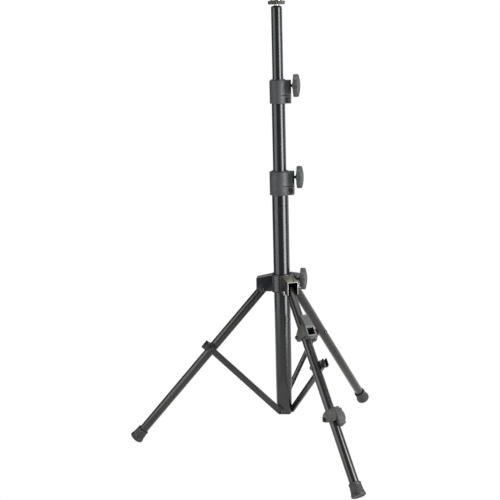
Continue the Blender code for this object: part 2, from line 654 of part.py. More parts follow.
def build():
    clear_scene()
    stand = empty("stand", location=(MAST_X, 0, 0))
    lower_tube(stand)
    bottom_cap(stand)
    collar("lower_collar", LOWER_COLLAR, stand)
    collar_sleeve("lower_collar_sleeve", LOWER_COLLAR, stand)
    cross_screw("lower_collar_screw", LOWER_COLLAR, stand)
    clamp_set("lower", MIDDLE_RADIUS, LOWER_COLLAR["knob_x"], LOWER_COLLAR["knob_z"], stand)
    straight_tube("mast_middle_tube", MIDDLE_RADIUS, MIDDLE_WALL, MIDDLE_BOTTOM, MIDDLE_TOP, stand)
    guide_bush("middle_guide_bush", MIDDLE_RADIUS, LOWER_RADIUS - LOWER_WALL, MIDDLE_BOTTOM, stand)
    collar("upper_collar", UPPER_COLLAR, stand)
    collar_sleeve("upper_collar_sleeve", UPPER_COLLAR, stand)
    cross_screw("upper_collar_screw", UPPER_COLLAR, stand)
    clamp_set("upper", TOP_RADIUS, UPPER_COLLAR["knob_x"], UPPER_COLLAR["knob_z"], stand)
    straight_tube("mast_top_tube", TOP_RADIUS, TOP_WALL, TOP_BOTTOM, TOP_TOP, stand)
    guide_bush("top_guide_bush", TOP_RADIUS, MIDDLE_RADIUS - MIDDLE_WALL, TOP_BOTTOM, stand)
    mast_top(stand)
    hub(stand)
    hub_sleeve(stand)
    clamp_set("hub", LOWER_RADIUS, HUB_KNOB_X, HUB_KNOB_Z, stand, LOOSE_GAP)
    for side, azimuth in LEG_AZIMUTHS.items():
        plane = empty(f"plane_{side}", stand, rotation=(0, 0, math.radians(azimuth)))
        mast_rivet(side, plane)
        leg_pivot(side, plane)
        leg(side, plane)
        strut_clip(side, plane)
        strut_pin(side, plane)
        strut(side, plane)
        if side == "front":
            for position in BRACKETS:
                clamp_bracket(position, plane)


build()
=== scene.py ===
"""Looks of a telescopic tripod stand: smooth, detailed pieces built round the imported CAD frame.

Metres, +Z up.  Every CAD node is replaced by a finer piece that rides on the same body.  Places
come from the frame's boxes and joints; the radii below are those of the stock the stand is made of.
Pieces of a leg are drawn in the leg's own frame: +X outward, +Y the strut's side, +Z up the leg.
"""
import json
import math

import bmesh
import bpy
from mathutils import Matrix, Vector

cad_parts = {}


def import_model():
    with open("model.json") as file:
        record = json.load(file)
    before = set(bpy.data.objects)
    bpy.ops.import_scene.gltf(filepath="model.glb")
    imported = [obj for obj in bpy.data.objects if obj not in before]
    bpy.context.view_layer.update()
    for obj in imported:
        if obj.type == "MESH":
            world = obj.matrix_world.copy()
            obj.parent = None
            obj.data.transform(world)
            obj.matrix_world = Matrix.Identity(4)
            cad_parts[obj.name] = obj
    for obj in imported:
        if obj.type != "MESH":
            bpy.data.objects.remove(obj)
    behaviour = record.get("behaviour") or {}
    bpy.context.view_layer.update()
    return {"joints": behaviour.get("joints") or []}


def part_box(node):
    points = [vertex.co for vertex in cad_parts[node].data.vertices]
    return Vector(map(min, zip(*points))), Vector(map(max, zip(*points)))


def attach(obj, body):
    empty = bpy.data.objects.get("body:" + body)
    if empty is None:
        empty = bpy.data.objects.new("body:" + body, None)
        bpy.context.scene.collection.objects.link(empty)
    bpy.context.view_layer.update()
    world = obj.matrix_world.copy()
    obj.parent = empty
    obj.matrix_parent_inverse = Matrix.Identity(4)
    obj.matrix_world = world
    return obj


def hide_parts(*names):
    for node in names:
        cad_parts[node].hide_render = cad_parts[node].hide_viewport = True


MM = 0.001
GAP = 0.3 * MM
SIDES = ("left", "rear", "front")

# Stock sizes.
LOWER_RADIUS, LOWER_WALL = 21.0 * MM, 2.0 * MM
MIDDLE_RADIUS, MIDDLE_WALL = 17.0 * MM, 1.5 * MM
TOP_RADIUS, TOP_WALL = 13.75 * MM, 1.5 * MM
LEG_RADIUS, LEG_WALL = 12.0 * MM, 1.5 * MM
LEG_TOP, LEG_LENGTH = 9.0 * MM, 551.5 * MM
FLAT_DISTANCE, FLAT_TOP, FLAT_END = 15.1 * MM, 147.0 * MM, 184.0 * MM
PIN_RADIUS = 3.0 * MM
SCREW_RADIUS = 4.0 * MM
KNOB_RADIUS, KNOB_LOBES = 28.8 * MM, 6
SLEEVE_WALL = 2.1 * MM
HUB_LOOSE = 1.2 * MM
HUB_BARREL, HUB_REACH = 27.5 * MM, 66.0 * MM
HUB_ARM_OUTER, HUB_ARM_INNER = 15.6 * MM, 12.8 * MM
STRUT_HALF_WIDTH, STRUT_INNER_Y, STRUT_OUTER_Y = 8.25 * MM, 16.0 * MM, 21.5 * MM
SIDE_PLAY = 0.9 * MM
BRACKET_HALF_WIDTH, BRACKET_BOLT_X, BRACKET_KNOB_Y = 14.5 * MM, -20.0 * MM, 28.0 * MM
COLLAR_HALF_SLOT = 0.85 * MM

# Sides of the large round pieces, and of bolts, pins and screws.
ROUND, SMALL = 96, 40

# Camera: place from the mast's axis, then turn, pitch and roll.
CAMERA_DISTANCE, CAMERA_SIDE, CAMERA_HEIGHT = 2892 * MM, -81.3 * MM, 1132 * MM
CAMERA_TURN, CAMERA_PITCH, CAMERA_ROLL = math.radians(6.64), math.radians(11.64), math.radians(-1.47)
CAMERA_LENS = 81.86

# Light: the glowing floor, the dim room and the soft panels.
FLOOR_RADIUS, FLOOR_GLOW = 1.35, 1.1
ROOM_COLOUR, ROOM_GLOW = (0.90, 1.0, 1.08, 1.0), 0.24
# Each panel's azimuth in degrees, distance, height, width, length, radiance and height aimed at.
PANELS = {
    "right_panel": (53, 2.3, 0.8, 1.2, 2.8, 13.5, 0.8),
    "left_panel": (-66, 2.4, 0.8, 2.2, 2.8, 3.0, 0.8),
    "rear_panel": (125, 2.4, 0.8, 2.0, 2.8, 1.0, 0.8),
    "top_panel": (150, 0.6, 3.2, 3.2, 3.2, 2.6, 0.4),
}

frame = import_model()
joints = {joint["name"]: joint for joint in frame["joints"]}


# ---------------------------------------------------------------- places, from the frame

def middle_x(node):
    low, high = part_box(node)
    return (low.x + high.x) / 2


def heights(node):
    low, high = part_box(node)
    return low.z, high.z


def joint_point(name):
    return Vector(joints[name]["pos_m"])


MAST = Matrix.Translation((middle_x("mast_middle_tube"), 0, 0))
PIVOTS = {"left": "hub_on_left_leg", "rear": "leg_rear_turn", "front": "leg_front_turn"}
STRUT_PINS = {"left": "leg_left_turn", "rear": "strut_rear_turn", "front": "strut_front_turn"}


def plane(side):
    """Frame of a leg's upright plane, at the mast's foot."""
    out = joint_point(PIVOTS[side]) - MAST.translation
    return MAST @ Matrix.Rotation(math.atan2(out.y, out.x), 4, "Z")


def along(origin, upward, side):
    """Frame at origin whose +Z runs upward and whose +Y is the strut's side."""
    z = upward.normalized()
    y = plane(side).col[1].to_3d()
    x = y.cross(z)
    basis = Matrix((x, y, z)).transposed().to_4x4()
    return Matrix.Translation(origin) @ basis


def leg_frame(side):
    pivot = joint_point(PIVOTS[side])
    return along(pivot, pivot - joint_point(STRUT_PINS[side]), side)


def strut_pin_distance(side):
    return (joint_point(PIVOTS[side]) - joint_point(STRUT_PINS[side])).length


def lower_pin(side):
    """Place of a strut's rivet: the same in each leg's plane."""
    local = plane("left").inverted() @ joint_point("legs_fold")
    return plane(side) @ local


def strut_frame(side):
    return along(lower_pin(side), joint_point(STRUT_PINS[side]) - lower_pin(side), side)


def flat_normals():
    """Directions in which the flats of the mast's foot face, one for each strut."""
    return [plane(side).col[1].to_3d() for side in SIDES]


# ---------------------------------------------------------------- materials

def link(tree, source, target):
    tree.links.new(source, target)


def node(tree, kind, **settings):
    made = tree.nodes.new(kind)
    for name, value in settings.items():
        if name in made.inputs:
            made.inputs[name].default_value = value
        else:
            setattr(made, name, value)
    return made


def grain(tree, coordinates, scale, detail=3.0, stretch=(1, 1, 1)):
    """Noise in the piece's own coordinates, 0 to 1."""
    mapping = node(tree, "ShaderNodeMapping")
    mapping.inputs["Scale"].default_value = stretch
    link(tree, coordinates, mapping.inputs["Vector"])
    texture = node(tree, "ShaderNodeTexNoise", Scale=scale, Detail=detail)
    link(tree, mapping.outputs["Vector"], texture.inputs["Vector"])
    return texture.outputs["Fac"]


def spread(tree, value, low, high, out_low=0.0, out_high=1.0):
    """Value stretched from low..high to out_low..out_high."""
    ramp = node(tree, "ShaderNodeMapRange")
    ramp.inputs["From Min"].default_value = low
    ramp.inputs["From Max"].default_value = high
    ramp.inputs["To Min"].default_value = out_low
    ramp.inputs["To Max"].default_value = out_high
    link(tree, value, ramp.inputs["Value"])
    return ramp.outputs["Result"]


def blend(tree, factor, first, second):
    """Colour mix; first and second are colours or sockets."""
    mix = node(tree, "ShaderNodeMix", data_type="RGBA")
    link(tree, factor, mix.inputs["Factor"])
    for socket, value in ((mix.inputs[6], first), (mix.inputs[7], second)):
        if isinstance(value, tuple):
            socket.default_value = (*value, 1.0)
        else:
            link(tree, value, socket)
    return mix.outputs[2]


def edge_mask(tree, normal):
    """1 on rounded edges, where the rounded normal leaves the true one; the tint put there is partly scuffing
    and partly painted highlight.
    """
    geometry = node(tree, "ShaderNodeNewGeometry")
    dot = node(tree, "ShaderNodeVectorMath", operation="DOT_PRODUCT")
    link(tree, normal, dot.inputs[0])
    link(tree, geometry.outputs["Normal"], dot.inputs[1])
    return spread(tree, dot.outputs["Value"], 0.995, 0.93)


def surface(name, colour, second, roughness, metallic=0.0, grain_scale=900.0, bump=0.02,
            edge=0.35 * MM, scuff_and_highlight=None, streak=(1, 1, 1), patch_scale=18.0, uneven=0.18):
    """Material with colour patches, fine grain and, with an edge, rounded edges with a lighter tint, partly
    scuffing and partly painted highlight.
    """
    material = bpy.data.materials.new(name)
    material.use_nodes = True
    tree = material.node_tree
    shader = tree.nodes["Principled BSDF"]
    shader.inputs["Metallic"].default_value = metallic
    place = node(tree, "ShaderNodeTexCoord").outputs["Object"]
    patches = spread(tree, grain(tree, place, patch_scale, 5.0), 0.35, 0.65)
    colours = blend(tree, patches, colour, second)
    relief = node(tree, "ShaderNodeBump", Strength=bump, Distance=0.1 * MM)
    link(tree, grain(tree, place, grain_scale, 2.0, streak), relief.inputs["Height"])
    if edge:
        soft = node(tree, "ShaderNodeBevel", Radius=edge, samples=6)
        link(tree, soft.outputs["Normal"], relief.inputs["Normal"])
        # Lighter edge tint: partly scuffing, partly painted highlight along the edges.
        scuffed_and_lit_edges = node(tree, "ShaderNodeMath", operation="MULTIPLY")
        link(tree, edge_mask(tree, soft.outputs["Normal"]), scuffed_and_lit_edges.inputs[0])
        link(tree, spread(tree, grain(tree, place, 160.0, 4.0), 0.40, 0.60), scuffed_and_lit_edges.inputs[1])
        colours = blend(tree, scuffed_and_lit_edges.outputs["Value"], colours, scuff_and_highlight)
    link(tree, colours, shader.inputs["Base Color"])
    rough = grain(tree, place, patch_scale * 6, 4.0, streak)
    even, rest = roughness * (1 - uneven), roughness * (1 + uneven)
    link(tree, spread(tree, rough, 0.3, 0.7, even, rest), shader.inputs["Roughness"])
    link(tree, relief.outputs["Normal"], shader.inputs["Normal"])
    return material


FINISHES = {
    "gloss_black": surface("gloss_black", (0.0028, 0.0034, 0.0042), (0.0045, 0.0052, 0.0060), 0.235,
                           grain_scale=300.0, bump=0.004, edge=None, uneven=0.06),
    "leg_black": surface("leg_black", (0.0050, 0.0048, 0.0042), (0.0100, 0.0092, 0.0072), 0.22,
                         grain_scale=300.0, bump=0.008, scuff_and_highlight=(0.07, 0.07, 0.065)),
    "strut_black": surface("strut_black", (0.0095, 0.0098, 0.0098), (0.0150, 0.0152, 0.0150), 0.30,
                           grain_scale=300.0, bump=0.012, scuff_and_highlight=(0.08, 0.08, 0.075)),
    # The hub's light edge tint is painted highlight: bright thin lines along its edges.
    "hub_black": surface("hub_black", (0.0032, 0.0036, 0.0040), (0.0065, 0.0066, 0.0066), 0.24,
                         grain_scale=380.0, bump=0.03, edge=0.5 * MM, scuff_and_highlight=(0.32, 0.31, 0.28)),
    # Lighter beige copy of the hub's black paint for its upward faces: painted light from above.
    "hub_lit_top": surface("hub_lit_top", (0.060, 0.053, 0.041), (0.105, 0.094, 0.074), 0.34,
                       grain_scale=380.0, bump=0.05, edge=0.5 * MM, scuff_and_highlight=(0.40, 0.38, 0.33)),
    # Lighter copy for the arms' end faces: painted highlight where light catches the sheet's ends.
    "sheet_edge_highlight": surface("sheet_edge_highlight", (0.09, 0.09, 0.085), (0.20, 0.20, 0.19), 0.35,
                          grain_scale=700.0, bump=0.08, scuff_and_highlight=(0.45, 0.45, 0.44)),
    "moulded_grey": surface("moulded_grey", (0.018, 0.019, 0.0205), (0.025, 0.026, 0.027), 0.58,
                            grain_scale=1500.0, bump=0.22, scuff_and_highlight=(0.075, 0.075, 0.075)),
    "knob_grey": surface("knob_grey", (0.024, 0.024, 0.0235), (0.032, 0.032, 0.031), 0.52,
                         grain_scale=1300.0, bump=0.25, scuff_and_highlight=(0.07, 0.07, 0.065)),
    "bracket_grey": surface("bracket_grey", (0.026, 0.027, 0.028), (0.042, 0.043, 0.043), 0.44,
                            grain_scale=1100.0, bump=0.30, scuff_and_highlight=(0.16, 0.16, 0.16), patch_scale=140.0),
    # Lighter copy of the bracket grey for the square frame round the window: painted highlight.
    "bracket_lit_frame": surface("bracket_lit_frame", (0.070, 0.072, 0.074), (0.095, 0.097, 0.098), 0.44,
                             grain_scale=1100.0, bump=0.30, scuff_and_highlight=(0.20, 0.20, 0.20), patch_scale=140.0),
    # Darker brown copy of the bracket grey for faces turned away from the light: painted shade.
    "bracket_shade_brown": surface("bracket_shade_brown", (0.019, 0.018, 0.014), (0.029, 0.027, 0.021), 0.46,
                             grain_scale=1100.0, bump=0.30, scuff_and_highlight=(0.11, 0.11, 0.10)),
    "nylon_black": surface("nylon_black", (0.0060, 0.0062, 0.0066), (0.0100, 0.0102, 0.0106), 0.36,
                           grain_scale=1200.0, bump=0.10, scuff_and_highlight=(0.04, 0.04, 0.04)),
    # Near-black, dull finish for the collars' slot and screw recess: painted shade.
    "painted_shade_black": surface("painted_shade_black", (0.0020, 0.0020, 0.0022), (0.0030, 0.0030, 0.0032), 0.95,
                            grain_scale=1200.0, bump=0.10, edge=None),
    "boot_rubber": surface("boot_rubber", (0.007, 0.007, 0.0078), (0.014, 0.014, 0.0147), 0.52,
                           grain_scale=700.0, bump=0.35, scuff_and_highlight=(0.06, 0.058, 0.055)),
    "zinc": surface("zinc", (0.52, 0.52, 0.50), (0.40, 0.40, 0.38), 0.30, metallic=1.0,
                    grain_scale=900.0, bump=0.06, scuff_and_highlight=(0.75, 0.75, 0.73)),
    # The dark steel's light edge tint is painted highlight: bright rings on bolt, screw and rivet heads.
    "dark_steel": surface("dark_steel", (0.024, 0.025, 0.027), (0.045, 0.046, 0.048), 0.36,
                          metallic=0.6, grain_scale=900.0, bump=0.06, scuff_and_highlight=(0.30, 0.30, 0.30)),
    "yellow_zinc": surface("yellow_zinc", (0.50, 0.45, 0.29), (0.60, 0.56, 0.40), 0.34, metallic=1.0,
                           grain_scale=600.0, bump=0.06, streak=(1, 1, 12), scuff_and_highlight=(0.8, 0.78, 0.7)),
    "brass": surface("brass", (0.60, 0.46, 0.20), (0.50, 0.38, 0.16), 0.34, metallic=1.0,
                     scuff_and_highlight=(0.8, 0.65, 0.35)),
}


# ---------------------------------------------------------------- shapes

def circle(radius, height, sides=ROUND):
    angles = [2 * math.pi * (i + 0.5) / sides for i in range(sides)]
    return [Vector((radius * math.cos(a), radius * math.sin(a), height)) for a in angles]


def waved_circle(radius, depth, count, height, sides, sharpness=1.0):
    """Circle with count lobes; depth is the fall between two lobes."""
    ring = []
    for i in range(sides):
        angle = 2 * math.pi * i / sides
        dip = (0.5 - 0.5 * math.cos(count * angle)) ** sharpness
        reach = radius - depth * dip
        ring.append(Vector((reach * math.cos(angle), reach * math.sin(angle), height)))
    return ring


def hexagon(radius, height, sides=36):
    """Six-sided ring with as many points as the circles that it is joined to."""
    ring = []
    for i in range(sides):
        angle = 2 * math.pi * (i + 0.5) / sides
        from_flat = (angle + math.radians(30)) % math.radians(60) - math.radians(30)
        reach = radius * math.cos(math.radians(30)) / math.cos(from_flat)
        ring.append(Vector((reach * math.cos(angle), reach * math.sin(angle), height)))
    return ring


def skin(rings, closed=False):
    """Skin over rings of equally many points, capped unless the rings close up."""
    mesh = bmesh.new()
    layers = [[mesh.verts.new(point) for point in ring] for ring in rings]
    pairs = list(zip(layers, layers[1:]))
    if closed:
        pairs.append((layers[-1], layers[0]))
    for low, high in pairs:
        for i in range(len(low)):
            j = (i + 1) % len(low)
            mesh.faces.new((low[i], low[j], high[j], high[i]))
    if not closed:
        mesh.faces.new(layers[0])
        mesh.faces.new(layers[-1])
    bmesh.ops.recalc_face_normals(mesh, faces=mesh.faces)
    return mesh


def turned(profile, sides=ROUND, closed=False):
    return skin([circle(radius, height, sides) for radius, height in profile], closed)


def softened(profile, edge=0.5 * MM, closed=True):
    """Profile with every corner cut into a small arc."""
    points = [Vector(point) for point in profile]
    soft = []
    for i, point in enumerate(points):
        if not closed and i in (0, len(points) - 1):
            soft.append(tuple(point))
            continue
        before, after = points[i - 1] - point, points[(i + 1) % len(points)] - point
        reach = min(edge, 0.45 * before.length, 0.45 * after.length)
        start = point + before.normalized() * reach
        end = point + after.normalized() * reach
        for step in (0.0, 0.5, 1.0):
            one = start.lerp(point, step)
            two = point.lerp(end, step)
            soft.append(tuple(one.lerp(two, step)))
    return soft


def box(low, high):
    outline = [(low[0], low[1]), (high[0], low[1]), (high[0], high[1]), (low[0], high[1])]
    return skin([[Vector((x, y, z)) for x, y in outline] for z in (low[2], high[2])])


def on_side(points, low, high):
    """Outline in the XZ plane, extruded along Y."""
    return skin([[Vector((x, depth, z)) for x, z in points] for depth in (low, high)])


def along_x(mesh):
    mesh.transform(Matrix.Rotation(math.radians(90), 4, "Y"))
    return mesh


def along_y(mesh):
    mesh.transform(Matrix.Rotation(math.radians(-90), 4, "X"))
    return mesh


def moved(mesh, x=0.0, y=0.0, z=0.0):
    mesh.transform(Matrix.Translation((x, y, z)))
    return mesh


def rod_x(radius, low, high, z=0.0, sides=SMALL):
    return moved(along_x(turned([(radius, low), (radius, high)], sides)), z=z)


def rod_y(radius, low, high, x=0.0, z=0.0, sides=SMALL):
    return moved(along_y(turned([(radius, low), (radius, high)], sides)), x=x, z=z)


def turned_by(mesh, azimuth):
    mesh.transform(Matrix.Rotation(azimuth, 4, "Z"))
    return mesh


# ---------------------------------------------------------------- pieces

def to_object(name, mesh):
    data = bpy.data.meshes.new(name)
    mesh.to_mesh(data)
    mesh.free()
    made = bpy.data.objects.new(name, data)
    bpy.context.scene.collection.objects.link(made)
    return made


def apply_modifiers(made):
    bpy.context.view_layer.update()
    evaluated = made.evaluated_get(bpy.context.evaluated_depsgraph_get())
    data = bpy.data.meshes.new_from_object(evaluated)
    made.modifiers.clear()
    made.data = data


def rounded(mesh, width, segments=3, angle=35):
    """The mesh with its sharp edges bevelled."""
    made = to_object("rounding", mesh)
    step = made.modifiers.new("round", "BEVEL")
    step.width = width
    step.segments = segments
    step.limit_method = "ANGLE"
    step.angle_limit = math.radians(angle)
    apply_modifiers(made)
    result = bmesh.new()
    result.from_mesh(made.data)
    bpy.data.objects.remove(made)
    return result


def carve(mesh, cutters=(), additions=()):
    """The mesh with the additions joined to it and then the cutters taken away."""
    made = to_object("carving", mesh)
    helpers = []
    steps = [(extra, "UNION") for extra in additions] + [(cutter, "DIFFERENCE") for cutter in cutters]
    for other, operation in steps:
        helper = to_object("helper", other)
        helpers.append(helper)
        step = made.modifiers.new("carve", "BOOLEAN")
        step.operation = operation
        step.solver = "EXACT"
        step.object = helper
    apply_modifiers(made)
    result = bmesh.new()
    result.from_mesh(made.data)
    for thing in (made, *helpers):
        bpy.data.objects.remove(thing)
    return result


def recoat(made, finish, chosen):
    """Second finish on the faces that chosen picks by their centre and normal."""
    made.data.materials.append(FINISHES[finish])
    index = len(made.data.materials) - 1
    for face in made.data.polygons:
        if chosen(face.center, face.normal):
            face.material_index = index


def show(name, mesh, finish, place, body, *replaced, sharp=35):
    """Piece set at its place, riding on its CAD body instead of the CAD nodes it replaces."""
    mesh.transform(place)
    made = to_object(name, mesh)
    made.data.shade_smooth()
    made.data.set_sharp_from_angle(angle=math.radians(sharp))
    made.data.materials.clear()
    made.data.materials.append(FINISHES[finish])
    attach(made, body)
    if replaced:
        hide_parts(*replaced)
    return made


# ---------------------------------------------------------------- mast tubes

def flat_distance(height):
    ease = min(max((height - FLAT_TOP) / (FLAT_END - FLAT_TOP), 0.0), 1.0)
    smooth = ease * ease * (3 - 2 * ease)
    return FLAT_DISTANCE + (LOWER_RADIUS + GAP - FLAT_DISTANCE) * smooth


def pressed_ring(height, inset=0.0, at=None):
    """Section of the lower tube: round, with a flat on the strut's side of each leg."""
    distance = flat_distance(height if at is None else at) - inset
    radius = LOWER_RADIUS - inset
    normals = flat_normals()
    ring = []
    for i in range(2 * ROUND):
        angle = math.pi * i / ROUND
        ray = Vector((math.cos(angle), math.sin(angle), 0))
        reach = radius
        for normal in normals:
            facing = ray.dot(normal)
            if facing > 0.3:
                reach = smooth_min(reach, distance / facing, 0.6 * MM)
        ring.append(ray * reach + Vector((0, 0, height)))
    return ring


def smooth_min(a, b, width):
    """Smaller of two values, with a rounded change from one to the other."""
    share = max(width - abs(a - b), 0.0) / width
    return min(a, b) - share * share * width * 0.25


def lower_tube():
    """Outer mast tube; the pressed flats have the struts' duller finish, whose lighter colour there is
    painted light on the flats.
    """
    bottom, top = heights("mast_lower_tube")
    steps = 14
    levels = [bottom + 2.2 * MM]
    levels += [FLAT_TOP + (FLAT_END - FLAT_TOP) * i / steps for i in range(steps + 1)]
    levels.append(top - 0.6 * MM)
    outside = [pressed_ring(bottom, 1.6 * MM), pressed_ring(bottom + 0.6 * MM, 0.7 * MM)]
    outside += [pressed_ring(level) for level in levels]
    outside.append(pressed_ring(top, 0.6 * MM))
    inside = [pressed_ring(level, LOWER_WALL) for level in (top, FLAT_END, FLAT_TOP, bottom)]
    tube = show("lower_tube", skin(outside + inside, closed=True), "gloss_black", MAST, "mast",
                "mast_lower_tube")
    normals = flat_normals()
    # Painted light: the flats get the lighter strut finish in place of the light they catch.
    recoat(tube, "strut_black", lambda centre, normal: centre.z < FLAT_END and any(
        normal.dot(flat) > 0.97 for flat in normals))


def straight_tubes():
    for name, radius, wall, body in (("middle", MIDDLE_RADIUS, MIDDLE_WALL, "middle_mast"),
                                     ("top", TOP_RADIUS, TOP_WALL, "top_mast")):
        low, high = heights(f"mast_{name}_tube")
        profile = softened([(radius, low), (radius, high), (radius - wall, high), (radius - wall, low)])
        show(f"{name}_tube", turned(profile, closed=True), "gloss_black", MAST, body,
             f"mast_{name}_tube")


def bottom_cap():
    low, high = heights("mast_bottom_cap")
    tube_end = heights("mast_lower_tube")[0]
    rim = tube_end - GAP
    inset = LOWER_WALL + GAP
    rings = [pressed_ring(low, 4.6 * MM, at=rim), pressed_ring(low + 0.4 * MM, 3.0 * MM, at=rim),
             pressed_ring(low + 1.3 * MM, 2.0 * MM, at=rim), pressed_ring(rim, 1.6 * MM, at=rim),
             pressed_ring(rim, inset, at=rim), pressed_ring(high, inset, at=rim)]
    show("bottom_cap", skin(rings), "nylon_black", MAST, "mast", "mast_bottom_cap")


def guide_bushes():
    for name, radius, bore, body in (("middle", MIDDLE_RADIUS, LOWER_RADIUS - LOWER_WALL, "middle_bush"),
                                     ("top", TOP_RADIUS, MIDDLE_RADIUS - MIDDLE_WALL, "top_bush")):
        low, high = heights(f"{name}_guide_bush")
        lip = low + 4 * MM - GAP
        outer, inner, small = bore - GAP, radius + GAP, radius - 2.5 * MM
        profile = softened([(outer, low), (outer, high), (inner, high), (inner, lip), (small, lip),
                            (small, low)])
        show(f"{name}_bush", turned(profile, closed=True), "nylon_black", MAST, body,
             f"{name}_guide_bush")


# ---------------------------------------------------------------- collars

def collar_ring(radius, reach, half, corner, inset, height):
    """Round outline with a boss along +X, moved in by inset."""
    radius, reach, half = radius - inset, reach - inset, half - 0.6 * inset
    start = math.asin(half / radius)
    arc, turn = 96, 10
    ring = []
    for i in range(arc + 1):
        angle = start + (2 * math.pi - 2 * start) * i / arc
        ring.append(Vector((radius * math.cos(angle), radius * math.sin(angle), height)))
    for sign, first in ((-1, -90), (1, 0)):
        for i in range(turn + 1):
            angle = math.radians(first + 90 * i / turn)
            ring.append(Vector((reach - corner + corner * math.cos(angle),
                                sign * (half - corner) + corner * math.sin(angle), height)))
    return ring


# slot and cross are heights above the collar's foot, and cross_x is the cross screw's distance
# from the mast's axis.
COLLARS = {
    "lower": dict(radius=26.5 * MM, reach=36.5 * MM, tube=LOWER_RADIUS, inner=MIDDLE_RADIUS,
                  slot=23.0 * MM, cross=12.0 * MM, cross_x=28.5 * MM, body="mast",
                  tube_node="mast_lower_tube"),
    "upper": dict(radius=21.8 * MM, reach=32.4 * MM, tube=MIDDLE_RADIUS, inner=TOP_RADIUS,
                  slot=20.6 * MM, cross=9.0 * MM, cross_x=24.4 * MM, body="middle_mast",
                  tube_node="mast_middle_tube"),
}


def knob_height(prefix):
    low, high = heights(f"{prefix}_clamp_screw")
    return (low + high) / 2


def collar_solid(size, half, bottom, top):
    levels = [(0.9, bottom), (0.25, bottom + 0.3 * MM), (0.0, bottom + 1.0 * MM), (0.0, top - 2.0 * MM),
              (0.3, top - 0.9 * MM), (1.1, top - 0.2 * MM), (2.0, top)]
    return skin([collar_ring(size["radius"], size["reach"], half, 3 * MM, inset * MM, z)
                 for inset, z in levels])


def collar_cutters(prefix, bottom, top, slot, cross, head):
    """Stepped bore, slot, split, holes of both screws, the pad's seat and the seam at the back."""
    size = COLLARS[prefix]
    radius, reach, knob_z = size["radius"], size["reach"], knob_height(prefix)
    shoulder = heights(size["tube_node"])[1] + GAP
    lower_bore = size["tube"] + 0.15 * MM
    upper_bore = size["inner"] + GAP + SLEEVE_WALL + 0.1 * MM
    beyond = 5 * MM
    return [
        turned([(lower_bore, bottom - beyond), (lower_bore, shoulder), (upper_bore, shoulder),
                (upper_bore, top + beyond)]),
        box((0.35 * radius, -radius, slot - COLLAR_HALF_SLOT),
            (reach + beyond, radius, slot + COLLAR_HALF_SLOT)),
        box((0.65 * radius, -1.1 * MM, bottom - beyond), (reach + beyond, 1.1 * MM, slot)),
        rod_y(6.0 * MM, -radius, head, size["cross_x"], cross),
        rod_y(2.7 * MM, -radius, radius, size["cross_x"], cross),
        rod_x(5.2 * MM, reach - 1.2 * MM, reach + beyond, knob_z),
        rod_x(SCREW_RADIUS + 0.15 * MM, 0.5 * radius, reach + beyond, knob_z),
        rod_x(5.3 * MM, 0.5 * radius, size["inner"] + 10 * MM, knob_z),
        box((-radius - 1 * MM, -0.2 * MM, bottom - 1 * MM), (-radius + 0.25 * MM, 0.2 * MM, top + 1 * MM)),
    ]


def collar(prefix):
    """Clamp collar: chamfered top, slot, split foot, counterbored cross screw and a seam line."""
    size = COLLARS[prefix]
    bottom, top = heights(f"{prefix}_collar")
    half = 0.52 * size["radius"]
    slot, cross = bottom + size["slot"], bottom + size["cross"]
    head = -half + 3.4 * MM
    solid = collar_solid(size, half, bottom, top)
    cutters = collar_cutters(prefix, bottom, top, slot, cross, head)
    body = show(f"{prefix}_collar_body", carve(solid, cutters), "moulded_grey", MAST, size["body"],
                f"{prefix}_collar")
    axis = MAST.translation.x + size["cross_x"]

    # Faces in the slot and in the cross screw's counterbore are painted near black as shade.
    def sunk(centre, normal):
        in_slot = abs(centre.z - slot) < 1.1 * COLLAR_HALF_SLOT and centre.x > MAST.translation.x
        in_bore = math.hypot(centre.x - axis, centre.z - cross) < 6.1 * MM and centre.y > -half + 0.2 * MM
        return in_slot or in_bore

    recoat(body, "painted_shade_black", sunk)
    socket_screw(f"{prefix}_cross_screw", head - 0.1 * MM, half - 0.5 * MM, size["cross_x"], cross,
                 size["body"], f"{prefix}_collar_screw")


def socket_screw(name, head, end, x, z, body, replaced):
    """Cap screw along Y with a round head towards -Y and a hexagon socket in it."""
    sides = 36
    rings = [hexagon(2.1 * MM, head - 1.0 * MM, sides), hexagon(2.3 * MM, head - 3.3 * MM, sides),
             circle(3.0 * MM, head - 3.5 * MM, sides), circle(3.7 * MM, head - 3.4 * MM, sides),
             circle(4.0 * MM, head - 3.0 * MM, sides), circle(4.0 * MM, head, sides),
             circle(2.5 * MM, head, sides), circle(2.5 * MM, end, sides)]
    show(name, moved(along_y(skin(rings)), x=x, z=z), "dark_steel", MAST, body, replaced)


def sleeve(name, node_name, inner, lip, body, hub=False):
    """Nylon guide with a rounded lip on top, and one below too in the hub."""
    low, high = heights(node_name)
    outer = inner + SLEEVE_WALL
    if hub:
        profile = [(outer + lip, low), (outer + lip, low + 2.0 * MM), (outer, low + 2.2 * MM),
                   (outer, high - 2.4 * MM), (outer + lip, high - 2.4 * MM),
                   (outer + lip - 0.4 * MM, high - 0.6 * MM), (inner + 0.8 * MM, high),
                   (inner, high - 0.8 * MM), (inner, low)]
    else:
        profile = [(outer, low), (outer, high - 2.0 * MM), (outer + lip, high - 2.0 * MM),
                   (outer + lip - 0.3 * MM, high - 0.8 * MM), (outer + 0.6 * MM, high),
                   (inner + 0.6 * MM, high), (inner, high - 0.7 * MM), (inner, low)]
    show(name, turned(softened(profile, 0.35 * MM), closed=True), "nylon_black", MAST, body, node_name)


# ---------------------------------------------------------------- knobs, screws and pads

